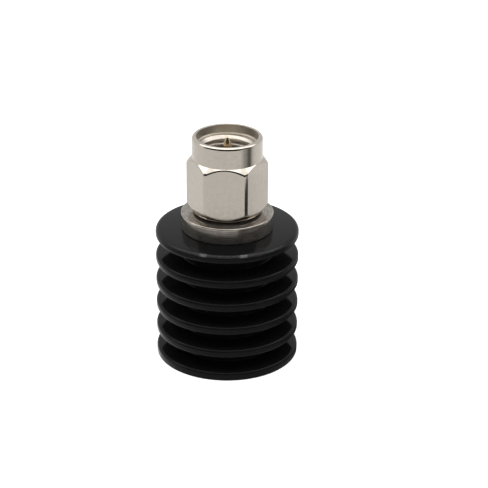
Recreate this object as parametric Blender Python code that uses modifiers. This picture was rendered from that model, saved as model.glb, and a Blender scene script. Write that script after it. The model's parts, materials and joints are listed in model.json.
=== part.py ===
"""Coaxial terminator: a threaded plug with its load resistor inside a finned heatsink.

Metres, +Z up. Every piece is turned about the Z axis. The part stands on the heatsink's base, whose
middle is the origin, and the plug points up. Run it with blender --background --python part.py.
"""

import math

import bmesh
import bpy
from mathutils import Matrix

MM = 0.001
OBJECT_NAME = "coaxial_terminator"

# Facets round the outer pieces and round the small inner ones
OUTER_SEGMENTS = 60
INNER_SEGMENTS = 30
SMOOTH_BELOW = math.radians(28)
AXIS_MERGE = 0.000001

# Heatsink
FIN_COUNT = 6
FIN_DIAMETER = 16.0 * MM
FIN_THICKNESS = 0.95 * MM
FIN_GAP = 1.88 * MM
TOP_FIN_GAP = 2.05 * MM
FIN_EDGE = 0.18 * MM
TOP_FIN_EDGE = 0.26 * MM
CORE_WALL = 1.75 * MM
HEATSINK_FLOOR = 4.0 * MM
BORE_LEAD_IN = 0.2 * MM

# Connector body
FLANGE_DIAMETER = 10.28 * MM
FLANGE_THICKNESS = 1.9 * MM
FLANGE_EDGE = 0.1 * MM
NECK_STEP = 0.38 * MM
TUBE_WALL = 0.24 * MM
TUBE_EDGE = 0.06 * MM
WEB_THICKNESS = 0.7 * MM
WEB_AIR_GAP = 0.82 * MM
CAVITY_DIAMETER = 5.1 * MM
CAVITY_ROOF = 0.25 * MM
SPIGOT_WALL = 0.93 * MM
SPIGOT_EDGE = 0.2 * MM
SPIGOT_END_GAP = 0.3 * MM

# Coupling nut, from its thread outwards: mouth, collar, then the hexagon, 8.0 mm across its flats
THREAD_MAJOR_DIAMETER = 6.35 * MM
THREAD_DEPTH = 0.345 * MM
THREAD_RELIEF = 0.2 * MM
MOUTH_STEP = 0.245 * MM
MOUTH_DEPTH = 0.95 * MM
MOUTH_EDGE = 0.06 * MM
COLLAR_WALL = 0.48 * MM
COLLAR_LENGTH = 2.44 * MM
COLLAR_EDGE = 0.18 * MM
HEX_STEP = 0.1 * MM
HEX_CORNER_CUT = 0.0938 * MM
HEX_LENGTH = 6.03 * MM
HEX_TURN = math.radians(-3.5)
NUT_SHOULDER_WIDTH = 0.445 * MM
NUT_STANDOFF = 0.45 * MM
NUT_OVERHANG = 2.47 * MM

# Retaining ring and the grooves that it sits in
RING_THICKNESS = 0.5 * MM
RING_HEIGHT_IN_NUT = 1.45 * MM
RING_BITE_IN_BODY = 0.27 * MM
RING_BITE_IN_NUT = 0.25 * MM
RING_SPLIT = 1.0 * MM
WALL_OVER_RING = 1.1 * MM

# Gasket
GASKET_THICKNESS = 1.0 * MM
GASKET_ROUNDING = 0.15 * MM

# Centre pin
PIN_DIAMETER = 0.92 * MM
PIN_REACH = 2.3 * MM
PIN_TIP_DIAMETER = 0.3 * MM
PIN_TIP_LENGTH = 0.8 * MM
PIN_BARREL_DIAMETER = 1.27 * MM
PIN_STEP_DEPTH = 0.1 * MM
SOCKET_WALL = 0.2 * MM
SOCKET_SETBACK = 0.3 * MM
SOCKET_HEAD = 0.5 * MM
SOCKET_SLOT = 0.22 * MM
SOCKET_SLOT_STOP = 0.2 * MM

# Load resistor
ROD_DIAMETER = 1.6 * MM
CAP_WALL = 0.1 * MM
CAP_LENGTH = 1.5 * MM
CAP_EDGE = 0.05 * MM

# Taper sleeve and end plug
SLEEVE_LIP = 0.2 * MM
SLEEVE_SETBACK = 0.8 * MM
PLUG_THICKNESS = 1.2 * MM
PLUG_EDGE = 0.12 * MM
PLUG_SLOT_WIDTH = 0.7 * MM
PLUG_SLOT_DEPTH = 0.5 * MM

# Clearances, each on one side
RUNNING_CLEARANCE = 0.05 * MM
RING_CLEARANCE = 0.04 * MM
NUT_FLOAT = 0.1 * MM
FIT_CLEARANCE = 0.01 * MM
GASKET_CLEARANCE = 0.03 * MM

# Heights that follow from the sizes above
HEATSINK_TOP = FIN_COUNT * FIN_THICKNESS + (FIN_COUNT - 2) * FIN_GAP + TOP_FIN_GAP
FLANGE_TOP = HEATSINK_TOP + FLANGE_THICKNESS
NUT_BASE = FLANGE_TOP + NUT_STANDOFF
HEX_TOP = NUT_BASE + HEX_LENGTH
NUT_RIM = HEX_TOP + COLLAR_LENGTH
REFERENCE_PLANE = NUT_RIM - NUT_OVERHANG
PIN_TIP = REFERENCE_PLANE + PIN_REACH
RING_MIDDLE = NUT_BASE + RING_HEIGHT_IN_NUT
NUT_SHOULDER = RING_MIDDLE + RING_THICKNESS / 2 + NUT_FLOAT + WALL_OVER_RING
NECK_TOP = NUT_SHOULDER - NUT_FLOAT
GASKET_TOP = NUT_SHOULDER + FIT_CLEARANCE + GASKET_THICKNESS
CAVITY_TOP = FLANGE_TOP - CAVITY_ROOF
BEAD_FOOT = CAVITY_TOP + WEB_THICKNESS
SOCKET_TOP = CAVITY_TOP - SOCKET_SETBACK
ROD_TOP = SOCKET_TOP - SOCKET_HEAD - CAP_WALL - 2 * FIT_CLEARANCE
SOCKET_FOOT = ROD_TOP + CAP_WALL + FIT_CLEARANCE - CAP_LENGTH
SLEEVE_TOP = SOCKET_FOOT - SLEEVE_SETBACK
BORE_FOOT = HEATSINK_FLOOR
SPIGOT_FOOT = BORE_FOOT + SPIGOT_END_GAP
PLUG_TOP = SPIGOT_FOOT + PLUG_THICKNESS
SLEEVE_FOOT = PLUG_TOP + FIT_CLEARANCE
ROD_FOOT = SLEEVE_FOOT + CAP_WALL + 2 * FIT_CLEARANCE

# Radii that follow from the sizes above
CAVITY_RADIUS = CAVITY_DIAMETER / 2
SPIGOT_RADIUS = CAVITY_RADIUS + SPIGOT_WALL
BORE_RADIUS = SPIGOT_RADIUS + FIT_CLEARANCE
CORE_RADIUS = BORE_RADIUS + CORE_WALL
THREAD_MAJOR_RADIUS = THREAD_MAJOR_DIAMETER / 2
MOUTH_RADIUS = THREAD_MAJOR_RADIUS + MOUTH_STEP
COLLAR_RADIUS = MOUTH_RADIUS + COLLAR_WALL
HEX_FLAT_RADIUS = COLLAR_RADIUS + HEX_STEP
HEX_SHARP_RADIUS = HEX_FLAT_RADIUS / math.cos(math.radians(30))
HEX_CORNER_RADIUS = HEX_SHARP_RADIUS - HEX_CORNER_CUT
NUT_BORE_RADIUS = THREAD_MAJOR_RADIUS - NUT_SHOULDER_WIDTH
NECK_RADIUS = NUT_BORE_RADIUS - RUNNING_CLEARANCE
TUBE_RADIUS = NECK_RADIUS - NECK_STEP
TUBE_BORE_RADIUS = TUBE_RADIUS - TUBE_WALL
RING_INNER_RADIUS = NECK_RADIUS - RING_BITE_IN_BODY
RING_OUTER_RADIUS = NUT_BORE_RADIUS + RING_BITE_IN_NUT
CAP_BORE_RADIUS = ROD_DIAMETER / 2 + FIT_CLEARANCE
CAP_RADIUS = CAP_BORE_RADIUS + CAP_WALL
SOCKET_BORE_RADIUS = CAP_RADIUS + FIT_CLEARANCE
SOCKET_RADIUS = SOCKET_BORE_RADIUS + SOCKET_WALL


def clear_scene():
    for obj in list(bpy.data.objects):
        bpy.data.objects.remove(obj, do_unlink=True)


def new_collection(name):
    collection = bpy.data.collections.new(name)
    bpy.context.scene.collection.children.link(collection)
    return collection


def new_material(name, colour, metallic, roughness):
    material = bpy.data.materials.new(name)
    material.use_nodes = True
    shader = material.node_tree.nodes["Principled BSDF"]
    shader.inputs["Base Color"].default_value = (*colour, 1.0)
    shader.inputs["Metallic"].default_value = metallic
    shader.inputs["Roughness"].default_value = roughness
    material.diffuse_color = (*colour, 1.0)
    return material


def moved_towards(start, target, distance):
    length = math.dist(start, target)
    return tuple(s + (t - s) * distance / length for s, t in zip(start, target))


def cut_corners(corners):
    """The (radius, height) points of a section whose corners (radius, height, edge) are chamfered."""
    points = []
    for index, (radius, height, *edge) in enumerate(corners):
        corner = (radius, height)
        if not edge:
            points.append(corner)
            continue
        before = corners[index - 1][:2]
        after = corners[(index + 1) % len(corners)][:2]
        points.append(moved_towards(corner, before, edge[0]))
        points.append(moved_towards(corner, after, edge[0]))
    return points


def turned(name, corners, collection, segments):
    """A solid of revolution. Its corners start at the top, on the axis or in the bore, and run down
    the outer side. They end on the axis, or up in the bore where the outline closes."""
    points = cut_corners(corners)
    mesh = bpy.data.meshes.new(name)
    section = bmesh.new()
    outline = [section.verts.new((radius, 0.0, height)) for radius, height in points]
    for start, end in zip(outline, outline[1:]):
        section.edges.new((start, end))
    off_axis = points[0][0] > 0.0
    if off_axis:
        section.edges.new((outline[-1], outline[0]))
    section.to_mesh(mesh)
    section.free()
    obj = bpy.data.objects.new(name, mesh)
    collection.objects.link(obj)
    screw = obj.modifiers.new("turn", "SCREW")
    screw.axis = "Z"
    screw.angle = math.tau
    screw.steps = segments
    screw.render_steps = segments
    screw.use_merge_vertices = True
    screw.merge_threshold = AXIS_MERGE
    return obj


def hide_cutter(obj):
    obj.hide_render = True
    obj.display_type = "WIRE"
    return obj


def new_cutter(name, shape, collection):
    mesh = bpy.data.meshes.new(name)
    shape.to_mesh(mesh)
    shape.free()
    obj = bpy.data.objects.new(name, mesh)
    collection.objects.link(obj)
    return hide_cutter(obj)


def box_cutter(name, size, middle, collection):
    shape = bmesh.new()
    place = Matrix.Translation(middle) @ Matrix.Diagonal((*size, 1.0))
    bmesh.ops.create_cube(shape, size=1.0, matrix=place)
    return new_cutter(name, shape, collection)


def combine(obj, other, operation):
    boolean = obj.modifiers.new(other.name, "BOOLEAN")
    boolean.operation = operation
    boolean.solver = "EXACT"
    boolean.object = other


def finish(obj, material):
    """Keeps the shape that the modifiers make, gives it its material and shades its round faces smooth."""
    graph = bpy.context.evaluated_depsgraph_get()
    mesh = bpy.data.meshes.new_from_object(obj.evaluated_get(graph))
    mesh.name = obj.name
    obj.modifiers.clear()
    obj.data = mesh
    mesh.materials.clear()
    mesh.materials.append(material)
    mesh.shade_smooth()
    mesh.set_sharp_from_angle(angle=SMOOTH_BELOW)
    return obj


def fin_feet():
    """The height of each fin's lower face, from the top fin down to the one on the base."""
    feet = [HEATSINK_TOP - FIN_THICKNESS]
    gaps = [TOP_FIN_GAP] + [FIN_GAP] * (FIN_COUNT - 2)
    for gap in gaps:
        feet.append(feet[-1] - gap - FIN_THICKNESS)
    return feet


def make_heatsink(parts, material):
    fin_radius = FIN_DIAMETER / 2
    corners = [
        (0.0, BORE_FOOT),
        (BORE_RADIUS, BORE_FOOT),
        (BORE_RADIUS, HEATSINK_TOP, BORE_LEAD_IN),
    ]
    for index, foot in enumerate(fin_feet()):
        top = foot + FIN_THICKNESS
        if index == 0:
            corners.append((fin_radius, top, TOP_FIN_EDGE))
        else:
            corners.append((CORE_RADIUS, top))
            corners.append((fin_radius, top, FIN_EDGE))
        corners.append((fin_radius, foot, FIN_EDGE))
        if index < FIN_COUNT - 1:
            corners.append((CORE_RADIUS, foot))
    corners.append((0.0, 0.0))
    return finish(turned("heatsink", corners, parts, OUTER_SEGMENTS), material)


def make_connector_body(parts, material):
    groove_radius = RING_INNER_RADIUS - RING_CLEARANCE
    groove_half = RING_THICKNESS / 2 + RING_CLEARANCE
    web_radius = PIN_BARREL_DIAMETER / 2 + WEB_AIR_GAP
    flange_radius = FLANGE_DIAMETER / 2
    corners = [
        (TUBE_BORE_RADIUS, REFERENCE_PLANE),
        (TUBE_RADIUS, REFERENCE_PLANE, TUBE_EDGE),
        (TUBE_RADIUS, NECK_TOP),
        (NECK_RADIUS, NECK_TOP, TUBE_EDGE),
        (NECK_RADIUS, RING_MIDDLE + groove_half),
        (groove_radius, RING_MIDDLE + groove_half),
        (groove_radius, RING_MIDDLE - groove_half),
        (NECK_RADIUS, RING_MIDDLE - groove_half),
        (NECK_RADIUS, FLANGE_TOP),
        (flange_radius, FLANGE_TOP, FLANGE_EDGE),
        (flange_radius, HEATSINK_TOP, FLANGE_EDGE),
        (SPIGOT_RADIUS, HEATSINK_TOP),
        (SPIGOT_RADIUS, SPIGOT_FOOT, SPIGOT_EDGE),
        (CAVITY_RADIUS, SPIGOT_FOOT),
        (CAVITY_RADIUS, CAVITY_TOP),
        (web_radius, CAVITY_TOP),
        (web_radius, BEAD_FOOT),
        (TUBE_BORE_RADIUS, BEAD_FOOT),
    ]
    return finish(turned("connector_body", corners, parts, OUTER_SEGMENTS), material)


def hexagon_cutter(cutters):
    """The hexagon bar that the nut is turned from, with a flat to the front."""
    middle = (0.0, 0.0, (NUT_RIM + NUT_BASE) / 2)
    shape = bmesh.new()
    bmesh.ops.create_cone(
        shape,
        cap_ends=True,
        segments=6,
        radius1=HEX_SHARP_RADIUS,
        radius2=HEX_SHARP_RADIUS,
        depth=2 * (NUT_RIM - NUT_BASE),
        matrix=Matrix.Translation(middle) @ Matrix.Rotation(math.radians(30), 4, "Z"),
    )
    return new_cutter("hexagon_bar", shape, cutters)


def make_coupling_nut(parts, cutters, material):
    chamfer = HEX_CORNER_RADIUS - COLLAR_RADIUS
    thread_radius = THREAD_MAJOR_RADIUS - THREAD_DEPTH
    mouth_foot = NUT_RIM - MOUTH_DEPTH
    relief_foot = mouth_foot - THREAD_RELIEF
    groove_radius = RING_OUTER_RADIUS + RING_CLEARANCE
    groove_half = RING_THICKNESS / 2 + NUT_FLOAT
    corners = [
        (MOUTH_RADIUS, NUT_RIM, MOUTH_EDGE),
        (COLLAR_RADIUS, NUT_RIM, COLLAR_EDGE),
        (COLLAR_RADIUS, HEX_TOP),
        (HEX_CORNER_RADIUS, HEX_TOP - chamfer),
        (HEX_CORNER_RADIUS, NUT_BASE + chamfer),
        (COLLAR_RADIUS, NUT_BASE),
        (NUT_BORE_RADIUS, NUT_BASE, MOUTH_EDGE),
        (NUT_BORE_RADIUS, RING_MIDDLE - groove_half),
        (groove_radius, RING_MIDDLE - groove_half),
        (groove_radius, RING_MIDDLE + groove_half),
        (NUT_BORE_RADIUS, RING_MIDDLE + groove_half),
        (NUT_BORE_RADIUS, NUT_SHOULDER),
        (THREAD_MAJOR_RADIUS, NUT_SHOULDER),
        (THREAD_MAJOR_RADIUS, GASKET_TOP + GASKET_CLEARANCE),
        (thread_radius, GASKET_TOP + GASKET_CLEARANCE),
        (thread_radius, relief_foot - THREAD_DEPTH),
        (THREAD_MAJOR_RADIUS, relief_foot),
        (THREAD_MAJOR_RADIUS, mouth_foot),
        (MOUTH_RADIUS, mouth_foot),
    ]
    nut = turned("coupling_nut", corners, parts, OUTER_SEGMENTS)
    hexagon = hexagon_cutter(cutters)
    combine(nut, hexagon, "INTERSECT")
    finish(nut, material)
    nut.rotation_euler.z = HEX_TURN
    hexagon.rotation_euler.z = HEX_TURN
    return nut


def make_retaining_ring(parts, cutters, material):
    half = RING_THICKNESS / 2
    corners = [
        (RING_INNER_RADIUS, RING_MIDDLE + half),
        (RING_OUTER_RADIUS, RING_MIDDLE + half),
        (RING_OUTER_RADIUS, RING_MIDDLE - half),
        (RING_INNER_RADIUS, RING_MIDDLE - half),
    ]
    ring = turned("retaining_ring", corners, parts, OUTER_SEGMENTS)
    size = (RING_SPLIT, 2 * RING_OUTER_RADIUS, 2 * RING_THICKNESS)
    middle = (0.0, RING_OUTER_RADIUS, RING_MIDDLE)
    combine(ring, box_cutter("ring_split", size, middle, cutters), "DIFFERENCE")
    return finish(ring, material)


def make_nut_gasket(parts, material):
    inner_radius = TUBE_RADIUS + GASKET_CLEARANCE
    outer_radius = THREAD_MAJOR_RADIUS - GASKET_CLEARANCE
    foot = NUT_SHOULDER + FIT_CLEARANCE
    corners = [
        (inner_radius, GASKET_TOP, GASKET_ROUNDING),
        (outer_radius, GASKET_TOP, GASKET_ROUNDING),
        (outer_radius, foot, GASKET_ROUNDING),
        (inner_radius, foot, GASKET_ROUNDING),
    ]
    return finish(turned("nut_gasket", corners, parts, INNER_SEGMENTS), material)


def make_front_bead(parts, material):
    inner_radius = PIN_BARREL_DIAMETER / 2 + FIT_CLEARANCE
    outer_radius = TUBE_BORE_RADIUS - FIT_CLEARANCE
    corners = [
        (inner_radius, REFERENCE_PLANE),
        (outer_radius, REFERENCE_PLANE),
        (outer_radius, BEAD_FOOT),
        (inner_radius, BEAD_FOOT),
    ]
    return finish(turned("front_bead", corners, parts, INNER_SEGMENTS), material)


def make_centre_pin(parts, cutters, material):
    pin_radius = PIN_DIAMETER / 2
    barrel_radius = PIN_BARREL_DIAMETER / 2
    step = REFERENCE_PLANE - PIN_STEP_DEPTH
    socket_floor = SOCKET_TOP - SOCKET_HEAD
    corners = [
        (0.0, PIN_TIP),
        (PIN_TIP_DIAMETER / 2, PIN_TIP),
        (pin_radius, PIN_TIP - PIN_TIP_LENGTH),
        (pin_radius, step),
        (barrel_radius, step),
        (barrel_radius, SOCKET_TOP),
        (SOCKET_RADIUS, SOCKET_TOP, SOCKET_WALL / 2),
        (SOCKET_RADIUS, SOCKET_FOOT),
        (SOCKET_BORE_RADIUS, SOCKET_FOOT),
        (SOCKET_BORE_RADIUS, socket_floor),
        (0.0, socket_floor),
    ]
    pin = turned("centre_pin", corners, parts, INNER_SEGMENTS)
    depth = socket_floor - SOCKET_SLOT_STOP - SOCKET_FOOT
    middle = (0.0, 0.0, SOCKET_FOOT)
    across = 4 * SOCKET_RADIUS
    for name, size in (
        ("socket_slot_x", (across, SOCKET_SLOT, 2 * depth)),
        ("socket_slot_y", (SOCKET_SLOT, across, 2 * depth)),
    ):
        combine(pin, box_cutter(name, size, middle, cutters), "DIFFERENCE")
    return finish(pin, material)


def make_load_rod(parts, material):
    radius = ROD_DIAMETER / 2
    corners = [(0.0, ROD_TOP), (radius, ROD_TOP), (radius, ROD_FOOT), (0.0, ROD_FOOT)]
    return finish(turned("load_rod", corners, parts, INNER_SEGMENTS), material)


def make_rod_cap(name, rod_end, inwards, parts, material):
    """A cup pressed on the rod's end; inwards is +1 where its mouth looks up and -1 where it looks down."""
    inside = rod_end - inwards * FIT_CLEARANCE
    outside = inside - inwards * CAP_WALL
    mouth = outside + inwards * CAP_LENGTH
    corners = [
        (0.0, outside),
        (CAP_RADIUS, outside, CAP_EDGE),
        (CAP_RADIUS, mouth),
        (CAP_BORE_RADIUS, mouth),
        (CAP_BORE_RADIUS, inside),
        (0.0, inside),
    ]
    if inwards > 0:
        corners.reverse()
    return finish(turned(name, corners, parts, INNER_SEGMENTS), material)


def make_taper_sleeve(parts, material):
    outer_radius = CAVITY_RADIUS - FIT_CLEARANCE
    rear_radius = CAP_RADIUS + FIT_CLEARANCE
    seat_top = SLEEVE_FOOT + CAP_LENGTH
    corners = [
        (outer_radius - SLEEVE_LIP, SLEEVE_TOP),
        (outer_radius, SLEEVE_TOP),
        (outer_radius, SLEEVE_FOOT),
        (rear_radius, SLEEVE_FOOT),
        (rear_radius, seat_top),
    ]
    return finish(turned("taper_sleeve", corners, parts, INNER_SEGMENTS), material)


def make_end_plug(parts, cutters, material):
    radius = CAVITY_RADIUS - FIT_CLEARANCE
    corners = [
        (0.0, PLUG_TOP),
        (radius, PLUG_TOP),
        (radius, SPIGOT_FOOT, PLUG_EDGE),
        (0.0, SPIGOT_FOOT),
    ]
    plug = turned("end_plug", corners, parts, INNER_SEGMENTS)
    size = (4 * radius, PLUG_SLOT_WIDTH, 2 * PLUG_SLOT_DEPTH)
    slot = box_cutter("plug_slot", size, (0.0, 0.0, SPIGOT_FOOT), cutters)
    combine(plug, slot, "DIFFERENCE")
    return finish(plug, material)


def main():
    clear_scene()
    parts = new_collection(OBJECT_NAME)
    cutters = new_collection(OBJECT_NAME + "_cutters")
    anodised = new_material("black_anodised", (0.012, 0.012, 0.013), 0.0, 0.3)
    nickel = new_material("nickel_plate", (0.55, 0.51, 0.46), 1.0, 0.22)
    body_nickel = new_material("body_nickel", (0.52, 0.49, 0.45), 1.0, 0.18)
    gold = new_material("gold_plate", (0.83, 0.58, 0.22), 1.0, 0.2)
    spring = new_material("spring_bronze", (0.62, 0.42, 0.22), 1.0, 0.3)
    silicone = new_material("red_silicone", (0.45, 0.05, 0.03), 0.0, 0.6)
    ptfe = new_material("ptfe", (0.85, 0.84, 0.8), 0.0, 0.45)
    ceramic = new_material("resistive_film", (0.06, 0.05, 0.05), 0.0, 0.4)
    tinned = new_material("tinned_cap", (0.7, 0.69, 0.67), 1.0, 0.3)
    brass = new_material("brass", (0.72, 0.52, 0.24), 1.0, 0.25)
    make_heatsink(parts, anodised)
    make_connector_body(parts, body_nickel)
    make_coupling_nut(parts, cutters, nickel)
    make_retaining_ring(parts, cutters, spring)
    make_nut_gasket(parts, silicone)
    make_front_bead(parts, ptfe)
    make_centre_pin(parts, cutters, gold)
    make_load_rod(parts, ceramic)
    make_rod_cap("rod_front_cap", ROD_TOP, -1, parts, tinned)
    make_rod_cap("rod_rear_cap", ROD_FOOT, 1, parts, tinned)
    make_taper_sleeve(parts, brass)
    make_end_plug(parts, cutters, brass)


main()
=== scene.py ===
"""The looks of the coaxial terminator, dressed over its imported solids.

Metres, +Z up. The part stands on the origin and -Y is the side that the photograph shows.
"""

import json
import math

import bmesh
import bpy
from mathutils import Matrix, Vector


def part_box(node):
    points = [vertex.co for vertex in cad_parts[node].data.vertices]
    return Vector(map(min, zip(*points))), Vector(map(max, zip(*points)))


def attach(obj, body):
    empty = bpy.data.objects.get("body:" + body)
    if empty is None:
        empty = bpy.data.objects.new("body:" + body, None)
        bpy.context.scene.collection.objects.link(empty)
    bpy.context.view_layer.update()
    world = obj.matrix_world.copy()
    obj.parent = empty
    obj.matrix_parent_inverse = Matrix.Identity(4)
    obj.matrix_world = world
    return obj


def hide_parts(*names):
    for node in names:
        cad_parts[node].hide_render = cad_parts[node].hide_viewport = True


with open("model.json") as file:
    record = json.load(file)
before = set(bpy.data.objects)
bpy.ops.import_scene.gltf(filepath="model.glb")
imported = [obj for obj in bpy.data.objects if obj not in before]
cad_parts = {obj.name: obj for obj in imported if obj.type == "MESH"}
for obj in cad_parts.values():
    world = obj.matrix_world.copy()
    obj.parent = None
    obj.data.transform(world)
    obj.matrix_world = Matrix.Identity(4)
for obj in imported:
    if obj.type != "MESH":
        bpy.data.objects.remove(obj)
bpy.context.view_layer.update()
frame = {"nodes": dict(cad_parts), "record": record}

MM = 0.001

# Camera, as the photograph was taken
IMAGE_WIDTH = 488
FOCAL_PIXELS = 1786.0
SENSOR_WIDTH = 36.0
CAMERA_DISTANCE = 200.0 * MM
CAMERA_ELEVATION = math.radians(25.1)
AIM_HEIGHT = 13.05 * MM
AXIS_PIXEL = 227.2
CAMERA_ROLL = math.radians(0.1)
CLIP_START = 0.01
CLIP_END = 10.0

# Heights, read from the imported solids
HEATSINK_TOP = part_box("heatsink")[1].z
NUT_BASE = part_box("coupling_nut")[0].z
NUT_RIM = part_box("coupling_nut")[1].z
REFERENCE_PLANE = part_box("connector_body")[1].z
GASKET_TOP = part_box("nut_gasket")[1].z
PIN_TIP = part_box("centre_pin")[1].z
SOCKET_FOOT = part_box("centre_pin")[0].z
RING_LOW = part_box("retaining_ring")[0].z
RING_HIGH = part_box("retaining_ring")[1].z
SPIGOT_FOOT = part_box("connector_body")[0].z

# Heatsink
FIN_COUNT = 6
FIN_RADIUS = 8.0 * MM
FIN_THICKNESS = 0.95 * MM
FIN_GAP = 1.88 * MM
TOP_FIN_GAP = 2.05 * MM
FIN_ROUNDING = 0.33 * MM
FIN_FOOT_ROUNDING = 0.27 * MM
TOP_FIN_ROUNDING = 0.42 * MM
BASE_ROUNDING = 0.1 * MM
CORE_RADIUS = 5.24 * MM
CORE_FILLET = 0.15 * MM
BORE_RADIUS = 3.49 * MM
BORE_FOOT = 4.0 * MM
BORE_LEAD_IN = 0.2 * MM

# Connector body
FLANGE_RADIUS = 5.14 * MM
FLANGE_THICKNESS = 1.9 * MM
FLANGE_ROUNDING = 0.14 * MM
NECK_RADIUS = 2.68 * MM
NECK_TOP = 20.42 * MM
TUBE_RADIUS = 2.3 * MM
TUBE_BORE_RADIUS = 2.06 * MM
WEB_RADIUS = 1.455 * MM
CAVITY_RADIUS = 2.55 * MM
CAVITY_ROOF = 0.25 * MM
WEB_THICKNESS = 0.7 * MM
SPIGOT_RADIUS = 3.48 * MM
SPIGOT_EDGE = 0.2 * MM
BODY_GROOVE_RADIUS = 2.37 * MM
BODY_GROOVE_CLEARANCE = 0.04 * MM
TUBE_EDGE = 0.05 * MM

# Coupling nut
HEX_FLAT_RADIUS = 4.0 * MM
HEX_CORNER_RADIUS = 4.525 * MM
HEX_LENGTH = 6.03 * MM
HEX_SIDES = 6
HEX_SECTOR = math.tau / HEX_SIDES
HEX_FRONT = math.radians(-93.5)
HEX_CORNER_ZONE = math.radians(5)
HEX_CORNER_STEP = math.radians(0.4)
HEX_FLAT_STEP = math.radians(1.5)
HEX_ROUNDING = 0.25 * MM
HEX_ROUNDING_GAIN = 0.45
HEX_FOOT_ROUNDING = 0.06 * MM
CHAMFER_SLOPE = 1.05
COLLAR_RADIUS = 3.9 * MM
COLLAR_ROUNDING = 0.31 * MM
BOSS_RADIUS = 3.86 * MM
BOSS_LENGTH = 0.2 * MM
BOSS_EDGE = 0.08 * MM
MOUTH_RADIUS = 3.42 * MM
MOUTH_DEPTH = 0.93 * MM
MOUTH_DISH = 0.09 * MM
MOUTH_EDGE = 0.05 * MM
RELIEF_DEPTH = 1.13 * MM
NUT_BORE_RADIUS = 2.73 * MM
NUT_GROOVE_RADIUS = 3.02 * MM
NUT_FLOAT = 0.1 * MM
NUT_SHOULDER = 20.52 * MM

# The nut's 1/4-36 thread
THREAD_MAJOR_RADIUS = 3.175 * MM
THREAD_MINOR_RADIUS = 2.83 * MM
THREAD_PITCH = 25.4 / 36 * MM
THREAD_START = 0.36
THREAD_FLANK = math.radians(30)
THREAD_ROOT_FLAT = THREAD_PITCH / 8
THREAD_ROUNDING = 0.03 * MM
THREAD_OVER_GASKET = 0.03 * MM
THREAD_SEEN_DEPTH = 0.8 * MM
THREAD_SEEN_STEP = 0.022 * MM
THREAD_HIDDEN_STEP = 0.05 * MM

# Centre pin
PIN_RADIUS = 0.46 * MM
PIN_TIP_RADIUS = 0.15 * MM
PIN_TIP_LENGTH = 0.8 * MM
PIN_TIP_ROUNDING = 0.06 * MM
PIN_SHOULDER_ROUNDING = 0.15 * MM
PIN_BARREL_RADIUS = 0.635 * MM
PIN_STEP_DEPTH = 0.1 * MM
PIN_SOCKET_RADIUS = 1.13 * MM
PIN_SOCKET_BORE_RADIUS = 0.93 * MM
SOCKET_SLOT = 0.22 * MM
SOCKET_TOP = 16.62 * MM
SOCKET_HEAD = 0.5 * MM
SOCKET_ROUNDING = 0.1 * MM
SOCKET_SLOT_STOP = 0.2 * MM

# Facets
TURNED_SEGMENTS = 256
PIN_SEGMENTS = 64
ARC_STEPS = 5
MERGE = 0.0000005
SMOOTH_BELOW = math.radians(32)
TRUE_FROM = 0.1 * MM  # a wall takes its own shading this far from a rounding

# Looks. Each stop of the worn places is (azimuth in degrees, share of bare metal). The top fin's
# lighter upper edge is partly wear and partly painted highlight, with two painted glints at about -19 and
# 13 degrees
NOISE_RANGE = (0.3, 0.7)
NOISE_DETAIL = 4.0
NOISE_ROUGHNESS = 0.6
FINE_NOISE = 5  # times finer than the patches
MARK_PATCHES = 3.0
MARK_DETAIL = 3.0
BORED_RADIUS = MOUTH_RADIUS + 0.02 * MM
BORED_ROUGHNESS = (0.34, 0.42)
WEAR_AND_GLINT_FROM_RADIUS = FIN_RADIUS - 0.3 * MM
WEAR_AND_GLINT_FROM_HEIGHT = HEATSINK_TOP - 0.25 * MM
# the lighter colour of the worn edge and of its painted glints
WEAR_AND_GLINT_COLOUR = (0.16, 0.16, 0.16)
WEAR_AND_GLINT_NOISE = 3  # times finer than the patches
WEAR_AND_GLINT_SHARES = (0.4, 1.0)
WEAR_AND_PAINTED_GLINT_PLACES = (
    (-180, 0.1), (-60, 0.1), (-40, 0.18), (-23, 0.18), (-20.5, 1.0), (-18, 1.0), (-16, 0.18), (9.5, 0.18),
    (11, 1.0), (15, 1.0), (17, 0.2), (40, 0.18), (60, 0.05), (180, 0.1))

# Studio. Azimuths in degrees run from the front (0) by the right (90) to the back (180), and each
# stop is (azimuth, radiance)
FLOOR_WIDTH = 3.0
FLOOR_COLOUR = (0.8, 0.8, 0.8, 1.0)
FLOOR_FOR_CAMERA = 0.6
FLOOR_IN_GLOSS = (
    (-180, 0.98), (-110, 0.98), (-60, 0.94), (-20, 0.9), (40, 0.92), (80, 0.95), (115, 1.0), (180, 1.0))
# painted shadow and painted light: in reflections the floor near the part is dark on its right, as the
# part's shadow, and brighter on its left
NEAR_FLOOR_IN_GLOSS = (
    (-180, 0.85), (-120, 1.2), (-60, 1.4), (-25, 1.0), (0, 0.85), (50, 0.65), (80, 0.12), (150, 0.1),
    (172, 0.5), (180, 0.85))
NEAR_FLOOR_REACH = (0.03, 0.0365)
WORLD_FOR_CAMERA = 1.0
WORLD_IN_GLOSS = ((-180, 0.82), (-150, 0.9), (-90, 1.0), (90, 1.0), (150, 0.8), (180, 0.82))
WORLD_LIGHT = 0.45
OVERHEAD_PLACE = (0.0, 0.0, 0.3)
OVERHEAD_SIZE = (0.9, 0.34)
OVERHEAD_RADIANCE = 1.7
FRONT_FLAG_RADIUS = 0.3
FRONT_FLAG_REACH = (-80, 80)
FRONT_FLAG_HEIGHT = 0.47
FRONT_FLAG_IN_GLOSS = ((-80, 0.2), (-60, 0.04), (60, 0.04), (80, 0.2))
SIDE_FLAG_RADIUS = 0.0425
SIDE_FLAG_REACH = (42, 97)
SIDE_FLAG_HEIGHT = 0.03
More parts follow.
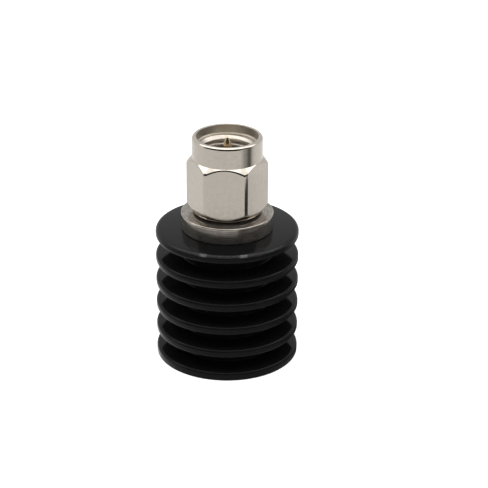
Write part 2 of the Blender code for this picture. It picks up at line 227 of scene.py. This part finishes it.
SIDE_FLAG_IN_GLOSS = (
    (42, 0.84), (46, 0.78), (49, 0.68), (53, 0.5), (57, 0.44), (60, 0.46), (64, 0.3), (69, 0.17),
    (73, 0.13), (77, 0.24), (81, 0.46), (86, 0.76), (97, 0.95))
# painted shadow in reflections: the low flag is dark from 27 to 91 degrees, as the part's shadow on the
# floor to its right
LOW_FLAG_RADIUS = 0.0375
LOW_FLAG_REACH = (4, 114)
LOW_FLAG_HEIGHT = 0.0079
LOW_FLAG_IN_GLOSS = (
    (4, 0.95), (21, 1.0), (27, 0.04), (91, 0.04), (99, 0.4), (105, 0.75), (109, 0.94), (114, 0.98))
# painted shade in reflections: the kerb is a darker floor near the part, which the flange's side mirrors
KERB_FLAG_RADIUS = 0.037
KERB_FLAG_REACH = (-175, 175)
KERB_FLAG_HEIGHT = 0.0026
KERB_FLAG_DROP = 0.0023
KERB_FLAG_IN_GLOSS = (
    (-175, 0.3), (-60, 0.3), (-18, 0.5), (-1, 0.52), (3, 0.2), (50, 0.2), (70, 0.5), (95, 0.45), (110, 0.3),
    (175, 0.3))
KERB_FLAG_FOOT = 0.0
FLAG_PANEL = 5


def fillet(before, corner, after, radius):
    """The points of the arc of that radius which rounds a corner of a section."""
    corner = Vector(corner)
    back = (Vector(before) - corner).normalized()
    on = (Vector(after) - corner).normalized()
    half = back.angle(on) / 2
    reach = radius / math.tan(half)
    start = corner + back * reach
    end = corner + on * reach
    centre = corner + (back + on).normalized() * (radius / math.sin(half))
    first = start - centre
    last = end - centre
    sweep = first.angle(last)
    points = []
    for step in range(ARC_STEPS + 1):
        share = step / ARC_STEPS
        near = math.sin((1 - share) * sweep) / math.sin(sweep)
        far = math.sin(share * sweep) / math.sin(sweep)
        points.append(tuple(centre + first * near + last * far))
    return points


def rounded(corners):
    """The points of a closed section whose corners (radius, height, rounding) are rounded."""
    points = []
    for index, (radius, height, *rounding) in enumerate(corners):
        if rounding:
            before = corners[index - 1][:2]
            after = corners[(index + 1) % len(corners)][:2]
            points.extend(fillet(before, (radius, height), after, rounding[0]))
        else:
            points.append((radius, height))
    return points


def skin(name, columns):
    """A solid through columns of points round the Z axis, each a closed section, in order of azimuth."""
    shape = bmesh.new()
    rows = [[shape.verts.new(point) for point in column] for column in columns]
    count = len(rows[0])
    for column, following in zip(rows, rows[1:] + rows[:1]):
        for index in range(count):
            onward = (index + 1) % count
            shape.faces.new((column[index], column[onward], following[onward], following[index]))
    bmesh.ops.remove_doubles(shape, verts=shape.verts, dist=MERGE)
    bmesh.ops.dissolve_degenerate(shape, edges=shape.edges, dist=MERGE)
    bmesh.ops.recalc_face_normals(shape, faces=shape.faces)
    mesh = bpy.data.meshes.new(name)
    shape.to_mesh(mesh)
    shape.free()
    mesh.shade_smooth()
    mesh.set_sharp_from_angle(angle=SMOOTH_BELOW)
    obj = bpy.data.objects.new(name, mesh)
    bpy.context.scene.collection.objects.link(obj)
    return obj


def turned(name, corners, segments=TURNED_SEGMENTS):
    """A solid of revolution from the corners of its section."""
    section = rounded(corners)
    columns = []
    for step in range(segments):
        azimuth = math.tau * step / segments
        columns.append([(r * math.cos(azimuth), r * math.sin(azimuth), z) for r, z in section])
    return skin(name, columns)


def make_heatsink():
    """From the foot of its bore up, over the top fin and down from fin to fin."""
    corners = [
        (0.0, BORE_FOOT),
        (BORE_RADIUS, BORE_FOOT),
        (BORE_RADIUS, HEATSINK_TOP - BORE_LEAD_IN),
        (BORE_RADIUS + BORE_LEAD_IN, HEATSINK_TOP),
    ]
    top = HEATSINK_TOP
    for index in range(FIN_COUNT):
        foot = top - FIN_THICKNESS
        is_top = index == 0
        is_last = index == FIN_COUNT - 1
        corners.append((FIN_RADIUS, top, TOP_FIN_ROUNDING if is_top else FIN_ROUNDING))
        corners.append((FIN_RADIUS, foot, BASE_ROUNDING if is_last else FIN_FOOT_ROUNDING))
        if not is_last:
            next_top = foot - (TOP_FIN_GAP if is_top else FIN_GAP)
            corners.append((CORE_RADIUS, foot, CORE_FILLET))
            corners.append((CORE_RADIUS, next_top, CORE_FILLET))
            top = next_top
    corners.append((0.0, 0.0))
    return turned("heatsink_turned", corners)


def make_connector_body():
    """From the front tube down the outside to the spigot, and up again through the bore."""
    flange_top = HEATSINK_TOP + FLANGE_THICKNESS
    cavity_top = flange_top - CAVITY_ROOF
    bead_foot = cavity_top + WEB_THICKNESS
    groove_low = RING_LOW - BODY_GROOVE_CLEARANCE
    groove_high = RING_HIGH + BODY_GROOVE_CLEARANCE
    corners = [
        (TUBE_BORE_RADIUS, REFERENCE_PLANE),
        (TUBE_RADIUS, REFERENCE_PLANE, TUBE_EDGE),
        (TUBE_RADIUS, NECK_TOP),
        (NECK_RADIUS, NECK_TOP, TUBE_EDGE),
        (NECK_RADIUS, groove_high),
        (BODY_GROOVE_RADIUS, groove_high),
        (BODY_GROOVE_RADIUS, groove_low),
        (NECK_RADIUS, groove_low),
        (NECK_RADIUS, flange_top),
        (FLANGE_RADIUS, flange_top, FLANGE_ROUNDING),
        (FLANGE_RADIUS, flange_top - FLANGE_ROUNDING - TRUE_FROM),
        (FLANGE_RADIUS, HEATSINK_TOP + FLANGE_ROUNDING + TRUE_FROM),
        (FLANGE_RADIUS, HEATSINK_TOP, FLANGE_ROUNDING),
        (SPIGOT_RADIUS, HEATSINK_TOP),
        (SPIGOT_RADIUS, SPIGOT_FOOT + SPIGOT_EDGE),
        (SPIGOT_RADIUS - SPIGOT_EDGE, SPIGOT_FOOT),
        (CAVITY_RADIUS, SPIGOT_FOOT),
        (CAVITY_RADIUS, cavity_top),
        (WEB_RADIUS, cavity_top),
        (WEB_RADIUS, bead_foot),
        (TUBE_BORE_RADIUS, bead_foot),
    ]
    return turned("connector_body_turned", corners)


def smooth_least(first, second, blend):
    """The lesser of two lengths, rounded over where they meet."""
    share = min(max(0.5 + (second - first) / (2 * blend), 0.0), 1.0)
    return second + (first - second) * share - blend * share * (1 - share)


def hex_radius(azimuth):
    """The nut's outer radius at an azimuth: six flats with rounded corners between them."""
    half = HEX_SECTOR / 2
    from_flat = abs((azimuth - HEX_FRONT + half) % HEX_SECTOR - half)
    to_corner = 1 / math.cos(half)
    rounding = (HEX_FLAT_RADIUS * to_corner - HEX_CORNER_RADIUS) / (to_corner - 1)
    middle = HEX_CORNER_RADIUS - rounding
    from_corner = half - from_flat
    touch = math.atan2(rounding * math.sin(half), middle + rounding * math.cos(half))
    if from_corner > touch:
        return HEX_FLAT_RADIUS / math.cos(from_flat)
    return middle * math.cos(from_corner) + math.sqrt(rounding**2 - (middle * math.sin(from_corner)) ** 2)


def nut_azimuths():
    """Azimuths round the nut, with more of them at its six corners."""
    half = HEX_SECTOR / 2
    flat = spaced(HEX_CORNER_ZONE - half, half - HEX_CORNER_ZONE, HEX_FLAT_STEP)
    corner = spaced(half - HEX_CORNER_ZONE, half + HEX_CORNER_ZONE, HEX_CORNER_STEP)[1:-1]
    return [HEX_FRONT + HEX_SECTOR * side + angle for side in range(HEX_SIDES) for angle in flat + corner]


def thread_radius(azimuth, height):
    """The radius of the right-hand internal thread, whose grooves reach the major radius."""
    depth = THREAD_MAJOR_RADIUS - THREAD_MINOR_RADIUS
    phase = ((height - NUT_BASE) / THREAD_PITCH - azimuth / math.tau + THREAD_START) % 1.0
    from_groove = abs(phase - 0.5) * THREAD_PITCH
    slope = 1 / math.tan(THREAD_FLANK)
    rise = depth - (from_groove - THREAD_ROOT_FLAT / 2) * slope
    bottomed = smooth_least(rise, depth, THREAD_ROUNDING)
    return THREAD_MINOR_RADIUS - smooth_least(-bottomed, 0.0, THREAD_ROUNDING)


def bore_radius(azimuth, height):
    """The threaded bore with its lead-in cone below the relief."""
    cone_foot = NUT_RIM - RELIEF_DEPTH - (THREAD_MAJOR_RADIUS - THREAD_MINOR_RADIUS)
    cone = THREAD_MINOR_RADIUS + (height - cone_foot)
    return max(cone, thread_radius(azimuth, height))


def spaced(start, end, step):
    """Even values from the start to the end, about a step apart."""
    count = max(1, round(abs(end - start) / step))
    return [start + (end - start) * index / count for index in range(count + 1)]


def make_coupling_nut():
    """Each azimuth has a section of its own, so that the hexagon's chamfers end in true arcs."""
    hex_top = NUT_BASE + HEX_LENGTH
    relief_foot = NUT_RIM - RELIEF_DEPTH
    thread_foot = GASKET_TOP + THREAD_OVER_GASKET
    seen_foot = REFERENCE_PLANE - THREAD_SEEN_DEPTH
    groove_low = RING_LOW - NUT_FLOAT
    groove_high = RING_HIGH + NUT_FLOAT
    thread_heights = spaced(relief_foot, seen_foot, THREAD_SEEN_STEP)
    thread_heights += spaced(seen_foot, thread_foot, THREAD_HIDDEN_STEP)[1:]
    columns = []
    for azimuth in nut_azimuths():
        hexagon = hex_radius(azimuth)
        chamfer = hexagon - COLLAR_RADIUS
        chamfer_foot = hex_top - CHAMFER_SLOPE * chamfer
        rounding = HEX_ROUNDING + HEX_ROUNDING_GAIN * (hexagon - HEX_FLAT_RADIUS)
        outside = rounded([
            (MOUTH_RADIUS, NUT_RIM - MOUTH_DEPTH),
            (MOUTH_RADIUS, NUT_RIM, MOUTH_EDGE),
            (COLLAR_RADIUS, NUT_RIM, COLLAR_ROUNDING),
            (COLLAR_RADIUS, NUT_RIM - COLLAR_ROUNDING - TRUE_FROM),
            (COLLAR_RADIUS, hex_top),
            (hexagon, chamfer_foot, rounding),
            (hexagon, chamfer_foot - rounding / 2 - TRUE_FROM),
            (hexagon, NUT_BASE + chamfer + HEX_FOOT_ROUNDING + TRUE_FROM),
            (hexagon, NUT_BASE + chamfer, HEX_FOOT_ROUNDING),
            (COLLAR_RADIUS, NUT_BASE),
            (BOSS_RADIUS, NUT_BASE - BOSS_LENGTH, BOSS_EDGE),
            (NUT_BORE_RADIUS, NUT_BASE - BOSS_LENGTH, MOUTH_EDGE),
            (NUT_BORE_RADIUS, groove_low),
        ])
        inside = [
            (NUT_GROOVE_RADIUS, groove_low),
            (NUT_GROOVE_RADIUS, groove_high),
            (NUT_BORE_RADIUS, groove_high),
            (NUT_BORE_RADIUS, NUT_SHOULDER),
            (THREAD_MAJOR_RADIUS, NUT_SHOULDER),
            (THREAD_MAJOR_RADIUS, thread_foot),
        ]
        thread = [(bore_radius(azimuth, height), height) for height in reversed(thread_heights)]
        floor = [(THREAD_MAJOR_RADIUS, NUT_RIM - MOUTH_DEPTH - MOUTH_DISH)]
        section = outside + inside + thread + floor
        columns.append([(r * math.cos(azimuth), r * math.sin(azimuth), z) for r, z in section])
    return skin("coupling_nut_threaded", columns)


def make_centre_pin():
    """From its tip down to the socket, which two crossed slots cut into four fingers."""
    corners = [
        (0.0, PIN_TIP),
        (PIN_TIP_RADIUS, PIN_TIP, PIN_TIP_ROUNDING),
        (PIN_RADIUS, PIN_TIP - PIN_TIP_LENGTH, PIN_SHOULDER_ROUNDING),
        (PIN_RADIUS, REFERENCE_PLANE - PIN_STEP_DEPTH),
        (PIN_BARREL_RADIUS, REFERENCE_PLANE - PIN_STEP_DEPTH),
        (PIN_BARREL_RADIUS, SOCKET_TOP),
        (PIN_SOCKET_RADIUS, SOCKET_TOP, SOCKET_ROUNDING),
        (PIN_SOCKET_RADIUS, SOCKET_FOOT),
        (PIN_SOCKET_BORE_RADIUS, SOCKET_FOOT),
        (PIN_SOCKET_BORE_RADIUS, SOCKET_TOP - SOCKET_HEAD),
        (0.0, SOCKET_TOP - SOCKET_HEAD),
    ]
    pin = turned("centre_pin_turned", corners, PIN_SEGMENTS)
    depth = SOCKET_TOP - SOCKET_HEAD - SOCKET_SLOT_STOP - SOCKET_FOOT
    across = 4 * PIN_SOCKET_RADIUS
    for size in ((across, SOCKET_SLOT, 2 * depth), (SOCKET_SLOT, across, 2 * depth)):
        cut_box(pin, size, (0.0, 0.0, SOCKET_FOOT))
    return pin


def cut_box(obj, size, middle):
    """Cuts a box out of a piece."""
    shape = bmesh.new()
    bmesh.ops.create_cube(
        shape, size=1.0, matrix=Matrix.Translation(middle) @ Matrix.Diagonal((*size, 1.0)))
    mesh = bpy.data.meshes.new("cutter")
    shape.to_mesh(mesh)
    shape.free()
    cutter = bpy.data.objects.new("cutter", mesh)
    bpy.context.scene.collection.objects.link(cutter)
    boolean = obj.modifiers.new("slot", "BOOLEAN")
    boolean.operation = "DIFFERENCE"
    boolean.solver = "EXACT"
    boolean.object = cutter
    graph = bpy.context.evaluated_depsgraph_get()
    obj.data = bpy.data.meshes.new_from_object(obj.evaluated_get(graph))
    obj.modifiers.clear()
    bpy.data.objects.remove(cutter, do_unlink=True)


def new_material(name):
    """A material with its nodes and links."""
    material = bpy.data.materials.new(name)
    material.use_nodes = True
    return material, material.node_tree.nodes, material.node_tree.links


def worked_out(nodes, links, operation, first, second):
    """The result of a sum on two sockets or numbers."""
    node = nodes.new("ShaderNodeMath")
    node.operation = operation
    for socket, value in zip(node.inputs, (first, second)):
        if isinstance(value, bpy.types.NodeSocket):
            links.new(value, socket)
        else:
            socket.default_value = value
    return node.outputs[0]


def stretched(nodes, links, value, span, low, high):
    """A value that lies in the span, stretched to the range from low to high."""
    node = nodes.new("ShaderNodeMapRange")
    for socket, limit in zip(("From Min", "From Max", "To Min", "To Max"), (*span, low, high)):
        node.inputs[socket].default_value = limit
    links.new(value, node.inputs["Value"])
    return node.outputs["Result"]


def spread(nodes, links, noise, low, high):
    """Noise, which keeps near 0.5, stretched to the range from low to high."""
    return stretched(nodes, links, noise, NOISE_RANGE, low, high)


def mottle(nodes, links, size):
    """Even noise with patches of about that size."""
    place = nodes.new("ShaderNodeTexCoord")
    noise = nodes.new("ShaderNodeTexNoise")
    noise.inputs["Scale"].default_value = 1 / size
    noise.inputs["Detail"].default_value = NOISE_DETAIL
    noise.inputs["Roughness"].default_value = NOISE_ROUGHNESS
    links.new(place.outputs["Object"], noise.inputs["Vector"])
    return noise.outputs[0]


def from_axis(nodes, links):
    """The outputs that tell a point's place across the Z axis, its distance from it, and its height."""
    place = nodes.new("ShaderNodeTexCoord")
    split = nodes.new("ShaderNodeSeparateXYZ")
    links.new(place.outputs["Object"], split.inputs[0])
    across = nodes.new("ShaderNodeCombineXYZ")
    links.new(split.outputs["X"], across.inputs["X"])
    links.new(split.outputs["Y"], across.inputs["Y"])
    radius = nodes.new("ShaderNodeVectorMath")
    radius.operation = "LENGTH"
    links.new(across.outputs[0], radius.inputs[0])
    return across.outputs[0], radius.outputs["Value"], split.outputs["Z"]


def turning_marks(nodes, links, size):
    """Noise drawn out into fine lines round the Z axis, as a lathe tool leaves them."""
    across, radius, height = from_axis(nodes, links)
    heading = nodes.new("ShaderNodeVectorMath")
    heading.operation = "NORMALIZE"
    links.new(across, heading.inputs[0])
    bearing = nodes.new("ShaderNodeSeparateXYZ")
    links.new(heading.outputs[0], bearing.inputs[0])
    vector = nodes.new("ShaderNodeCombineXYZ")
    for axis in ("X", "Y"):
        scaled = worked_out(nodes, links, "MULTIPLY", bearing.outputs[axis], MARK_PATCHES)
        links.new(scaled, vector.inputs[axis])
    links.new(worked_out(nodes, links, "DIVIDE", radius, size), vector.inputs["Z"])
    noise = nodes.new("ShaderNodeTexNoise")
    noise.noise_dimensions = "4D"
    noise.inputs["Scale"].default_value = 1.0
    noise.inputs["Detail"].default_value = MARK_DETAIL
    links.new(vector.outputs[0], noise.inputs["Vector"])
    links.new(worked_out(nodes, links, "DIVIDE", height, size), noise.inputs["W"])
    return noise.outputs[0]


def mixed(nodes, links, kind, share, first, second):
    """The first of two values or colours where the share is 0, and the second where it is 1."""
    node = nodes.new("ShaderNodeMix")
    node.data_type = kind
    low, high, result = {"FLOAT": (2, 3, 0), "RGBA": (6, 7, 2)}[kind]
    links.new(share, node.inputs[0])
    for socket, value in ((node.inputs[low], first), (node.inputs[high], second)):
        if isinstance(value, bpy.types.NodeSocket):
            links.new(value, socket)
        else:
            socket.default_value = value
    return node.outputs[result]


def make_material(
        name, colour, shade, roughness, patch, relief,
        metallic=0.0, line=None, ior=None, is_bored=False, is_worn_and_glinting=False):
    """A surface whose colour, gloss and height vary in patches and, if it was turned, in lines. Where it
    is bored it is duller inside, and where it is worn its upper edge is lighter: wear and painted glints."""
    material, nodes, links = new_material(name)
    shader = nodes["Principled BSDF"]
    patches = mottle(nodes, links, patch)
    marks = turning_marks(nodes, links, line) if line else mottle(nodes, links, patch / FINE_NOISE)
    both = worked_out(nodes, links, "MULTIPLY", worked_out(nodes, links, "ADD", patches, marks), 0.5)
    tint = mixed(
        nodes, links, "RGBA", spread(nodes, links, both, 0.0, 1.0), (*colour, 1.0), (*shade, 1.0))
    gloss = spread(nodes, links, patches, *roughness)
    across, radius, height = from_axis(nodes, links)
    if is_bored:
        within = worked_out(nodes, links, "LESS_THAN", radius, BORED_RADIUS)
        dull = spread(nodes, links, patches, *BORED_ROUGHNESS)
        gloss = mixed(nodes, links, "FLOAT", within, gloss, dull)
    # wear and painted highlight: the top fin's upper edge gets a lighter colour, brightest at two azimuths
    # as painted glints
    if is_worn_and_glinting:
        beyond = worked_out(nodes, links, "GREATER_THAN", radius, WEAR_AND_GLINT_FROM_RADIUS)
        above = worked_out(nodes, links, "GREATER_THAN", height, WEAR_AND_GLINT_FROM_HEIGHT)
        edge = worked_out(nodes, links, "MULTIPLY", beyond, above)
        wear_and_glint = worked_out(nodes, links, "MULTIPLY", edge, by_azimuth(nodes, links, across, WEAR_AND_PAINTED_GLINT_PLACES))
        patchy = spread(nodes, links, mottle(nodes, links, patch / WEAR_AND_GLINT_NOISE), *WEAR_AND_GLINT_SHARES)
        bare_and_glint = worked_out(nodes, links, "MULTIPLY", wear_and_glint, patchy)
        tint = mixed(nodes, links, "RGBA", bare_and_glint, tint, (*WEAR_AND_GLINT_COLOUR, 1.0))
    links.new(tint, shader.inputs["Base Color"])
    links.new(gloss, shader.inputs["Roughness"])
    bump = nodes.new("ShaderNodeBump")
    bump.inputs["Strength"].default_value = 1.0
    bump.inputs["Distance"].default_value = relief
    links.new(marks, bump.inputs["Height"])
    links.new(bump.outputs["Normal"], shader.inputs["Normal"])
    shader.inputs["Metallic"].default_value = metallic
    if ior:
        shader.inputs["IOR"].default_value = ior
    return material


def make_materials():
    """A material for each slot of the record."""
    return {
        "black_anodised": make_material(
            "black_anodised_turned", (0.005, 0.005, 0.0053), (0.0075, 0.0075, 0.008), (0.08, 0.13),
            patch=0.9 * MM, relief=0.0003 * MM, line=0.11 * MM, ior=1.17, is_worn_and_glinting=True),
        "body_nickel": make_material(
            "nickel_dull", (0.44, 0.41, 0.37), (0.17, 0.145, 0.12), (0.08, 0.2),
            patch=0.8 * MM, relief=0.0007 * MM, metallic=0.85, line=0.14 * MM),
        "nut_nickel": make_material(
            "nickel_satin", (0.53, 0.485, 0.425), (0.47, 0.43, 0.375), (0.09, 0.14),
            patch=0.5 * MM, relief=0.0006 * MM, metallic=1.0, line=0.07 * MM, is_bored=True),
        "spring_bronze": make_material(
            "bronze_spring", (0.62, 0.42, 0.22), (0.5, 0.33, 0.17), (0.28, 0.4),
            patch=0.5 * MM, relief=0.001 * MM, metallic=1.0),
        "silicone": make_material(
            "silicone_moulded", (0.46, 0.055, 0.032), (0.4, 0.04, 0.026), (0.45, 0.6),
            patch=0.4 * MM, relief=0.003 * MM),
        "ptfe": make_material(
            "ptfe_turned", (0.86, 0.85, 0.81), (0.78, 0.77, 0.73), (0.4, 0.55),
            patch=0.6 * MM, relief=0.003 * MM, line=0.09 * MM),
        "gold": make_material(
            "gold_plate", (0.84, 0.69, 0.46), (0.76, 0.6, 0.37), (0.12, 0.2),
            patch=0.3 * MM, relief=0.0008 * MM, metallic=1.0, line=0.05 * MM),
        "resistive_film": make_material(
            "film_on_ceramic", (0.06, 0.05, 0.05), (0.035, 0.03, 0.03), (0.3, 0.5),
            patch=0.3 * MM, relief=0.002 * MM),
        "tinned": make_material(
            "tinned_cap", (0.7, 0.69, 0.67), (0.56, 0.55, 0.53), (0.3, 0.45),
            patch=0.4 * MM, relief=0.002 * MM, metallic=1.0),
        "plain_brass": make_material(
            "brass_turned", (0.72, 0.52, 0.24), (0.6, 0.42, 0.18), (0.25, 0.36),
            patch=0.5 * MM, relief=0.0015 * MM, metallic=1.0, line=0.08 * MM),
    }


def dress(obj, material):
    """Gives a piece that material alone."""
    obj.data.materials.clear()
    obj.data.materials.append(material)


def by_azimuth(nodes, links, direction, stops):
    """A grey that changes round the Z axis, through stops (azimuth in degrees, level)."""
    split = nodes.new("ShaderNodeSeparateXYZ")
    links.new(direction, split.inputs[0])
    forwards = worked_out(nodes, links, "MULTIPLY", split.outputs["Y"], -1.0)
    azimuth = worked_out(nodes, links, "ARCTAN2", split.outputs["X"], forwards)
    turns = worked_out(nodes, links, "DIVIDE", azimuth, math.tau)
    ramp = nodes.new("ShaderNodeValToRGB")
    links.new(worked_out(nodes, links, "ADD", turns, 0.5), ramp.inputs[0])
    elements = ramp.color_ramp.elements
    while len(elements) < len(stops):
        elements.new(0.5)
    for element, (degrees, level) in zip(elements, stops):
        element.position = degrees / 360 + 0.5
        element.color = (level, level, level, 1.0)
    return ramp.outputs["Color"]


def mirrored_ray(nodes, links, path):
    """1 where a ray comes by way of a reflection or through glass, and otherwise 0."""
    return worked_out(
        nodes, links, "MAXIMUM", path.outputs["Is Glossy Ray"], path.outputs["Is Transmission Ray"])


def add_floor():
    """It keeps the part's shadow, and it shows brighter to the camera and by azimuth in reflections, where
    the shade and light near the part are painted.
    """
    bpy.ops.mesh.primitive_plane_add(size=FLOOR_WIDTH)
    floor = bpy.context.object
    floor.name = "floor"
    material, nodes, links = new_material("floor_white")
    shader = nodes["Principled BSDF"]
    shader.inputs["Base Color"].default_value = FLOOR_COLOUR
    shader.inputs["Roughness"].default_value = 1.0
    shader.inputs["Specular IOR Level"].default_value = 0.0
    path = nodes.new("ShaderNodeLightPath")
    seen = nodes.new("ShaderNodeEmission")
    links.new(
        worked_out(nodes, links, "MULTIPLY", path.outputs["Is Camera Ray"], FLOOR_FOR_CAMERA),
        seen.inputs["Strength"])
    lit = nodes.new("ShaderNodeAddShader")
    links.new(shader.outputs[0], lit.inputs[0])
    links.new(seen.outputs[0], lit.inputs[1])
    across, radius, _ = from_axis(nodes, links)
    # painted shadow and painted light on the floor near the part, seen only in reflections
    near = by_azimuth(nodes, links, across, NEAR_FLOOR_IN_GLOSS)
    far = by_azimuth(nodes, links, across, FLOOR_IN_GLOSS)
    farness = stretched(nodes, links, radius, NEAR_FLOOR_REACH, 0.0, 1.0)
    gloss = nodes.new("ShaderNodeEmission")
    links.new(mixed(nodes, links, "RGBA", farness, near, far), gloss.inputs["Color"])
    both = nodes.new("ShaderNodeMixShader")
    links.new(mirrored_ray(nodes, links, path), both.inputs[0])
    links.new(lit.outputs[0], both.inputs[1])
    links.new(gloss.outputs[0], both.inputs[2])
    links.new(both.outputs[0], nodes["Material Output"].inputs["Surface"])
    dress(floor, material)


def set_world():
    """It is white to the camera, lights plainly, and shows by azimuth in reflections."""
    world = bpy.data.worlds.new("studio")
    world.use_nodes = True
    bpy.context.scene.world = world
    nodes = world.node_tree.nodes
    links = world.node_tree.links
    background = nodes["Background"]
    background.inputs["Color"].default_value = (1.0, 1.0, 1.0, 1.0)
    path = nodes.new("ShaderNodeLightPath")
    place = nodes.new("ShaderNodeTexCoord")
    mirrored = mirrored_ray(nodes, links, path)
    round_about = by_azimuth(nodes, links, place.outputs["Generated"], WORLD_IN_GLOSS)
    extra = worked_out(nodes, links, "SUBTRACT", round_about, WORLD_LIGHT)
    in_gloss = worked_out(nodes, links, "MULTIPLY", mirrored, extra)
    seen = worked_out(
        nodes, links, "MULTIPLY", path.outputs["Is Camera Ray"], WORLD_FOR_CAMERA - WORLD_LIGHT)
    glow = worked_out(nodes, links, "ADD", seen, in_gloss)
    links.new(worked_out(nodes, links, "ADD", glow, WORLD_LIGHT), background.inputs["Strength"])


def add_softbox():
    """The lamp over the part."""
    data = bpy.data.lights.new("overhead", "AREA")
    data.shape = "RECTANGLE"
    data.size, data.size_y = OVERHEAD_SIZE
    data.energy = OVERHEAD_RADIANCE * math.pi * math.prod(OVERHEAD_SIZE)
    light = bpy.data.objects.new("overhead", data)
    light.location = OVERHEAD_PLACE
    towards = Vector((0.0, 0.0, NUT_BASE)) - Vector(OVERHEAD_PLACE)
    light.rotation_euler = towards.to_track_quat("-Z", "Y").to_euler()
    light.visible_camera = False
    bpy.context.scene.collection.objects.link(light)


def add_flag(name, radius, reach, height, stops, foot=1.0, drop=0.0):
    """A screen standing round part of the object, which only shows in reflections. At its foot it
    has that share of its radiance, and its top drops that far from the front to the back."""
    mesh = bpy.data.meshes.new(name)
    count = round((reach[1] - reach[0]) / FLAG_PANEL)
    points = []
    for step in range(count + 1):
        azimuth = math.radians(reach[0] + (reach[1] - reach[0]) * step / count)
        for z in (0.0, height - drop * (1 - math.cos(azimuth / 2))):
            points.append((radius * math.sin(azimuth), -radius * math.cos(azimuth), z))
    panels = [(2 * i, 2 * i + 2, 2 * i + 3, 2 * i + 1) for i in range(count)]
    mesh.from_pydata(points, [], panels)
    flag = bpy.data.objects.new(name, mesh)
    bpy.context.scene.collection.objects.link(flag)
    material, nodes, links = new_material(name + "_grey")
    glow = nodes.new("ShaderNodeEmission")
    across, _, level = from_axis(nodes, links)
    share = stretched(nodes, links, level, (0.0, height), foot, 1.0)
    radiance = worked_out(nodes, links, "MULTIPLY", by_azimuth(nodes, links, across, stops), share)
    links.new(radiance, glow.inputs["Strength"])
    links.new(glow.outputs[0], nodes["Material Output"].inputs["Surface"])
    dress(flag, material)
    flag.visible_camera = False
    flag.visible_diffuse = False
    flag.visible_shadow = False


def add_flags():
    """A tall one round the front, as the photographer and the room beyond the lights, and low ones; the low
    flag and the kerb flag paint the shade of the floor near the part into reflections.
    """
    add_flag("front_flag", FRONT_FLAG_RADIUS, FRONT_FLAG_REACH, FRONT_FLAG_HEIGHT, FRONT_FLAG_IN_GLOSS)
    add_flag("side_flag", SIDE_FLAG_RADIUS, SIDE_FLAG_REACH, SIDE_FLAG_HEIGHT, SIDE_FLAG_IN_GLOSS)
    add_flag("low_flag", LOW_FLAG_RADIUS, LOW_FLAG_REACH, LOW_FLAG_HEIGHT, LOW_FLAG_IN_GLOSS)
    add_flag(
        "kerb_flag", KERB_FLAG_RADIUS, KERB_FLAG_REACH, KERB_FLAG_HEIGHT, KERB_FLAG_IN_GLOSS,
        foot=KERB_FLAG_FOOT, drop=KERB_FLAG_DROP)


def add_camera():
    """It stands in front of the part and looks down at the axis, which is a little to the left."""
    data = bpy.data.cameras.new("camera")
    data.sensor_width = SENSOR_WIDTH
    data.lens = FOCAL_PIXELS * SENSOR_WIDTH / IMAGE_WIDTH
    data.clip_start = CLIP_START
    data.clip_end = CLIP_END
    camera = bpy.data.objects.new("camera", data)
    bpy.context.scene.collection.objects.link(camera)
    sideways = math.atan((IMAGE_WIDTH / 2 - AXIS_PIXEL) / FOCAL_PIXELS)
    back = CAMERA_DISTANCE * math.cos(CAMERA_ELEVATION)
    up = CAMERA_DISTANCE * math.sin(CAMERA_ELEVATION)
    tilt = Matrix.Rotation(math.radians(90) - CAMERA_ELEVATION, 4, "X")
    pan = Matrix.Rotation(-sideways, 4, "Y")
    roll = Matrix.Rotation(CAMERA_ROLL, 4, "Z")
    camera.matrix_world = Matrix.Translation((0.0, -back, AIM_HEIGHT + up)) @ tilt @ pan @ roll
    bpy.context.scene.camera = camera


def add_piece(piece, body, node, slot, materials):
    """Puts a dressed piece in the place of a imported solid."""
    dress(piece, materials[slot])
    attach(piece, body)
    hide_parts(node)


def main():
    materials = make_materials()
    slots = {part["node"]: part["material_slot"] for part in frame["record"]["subparts"]}
    for node, obj in frame["nodes"].items():
        for place in obj.material_slots:
            place.material = materials[slots[node]]
    add_piece(make_heatsink(), "housing", "heatsink", "black_anodised", materials)
    add_piece(make_connector_body(), "housing", "connector_body", "body_nickel", materials)
    add_piece(make_coupling_nut(), "nut", "coupling_nut", "nut_nickel", materials)
    add_piece(make_centre_pin(), "housing", "centre_pin", "gold", materials)
    add_floor()
    set_world()
    add_softbox()
    add_flags()
    add_camera()
    bpy.context.scene.view_settings.view_transform = "Standard"


main()
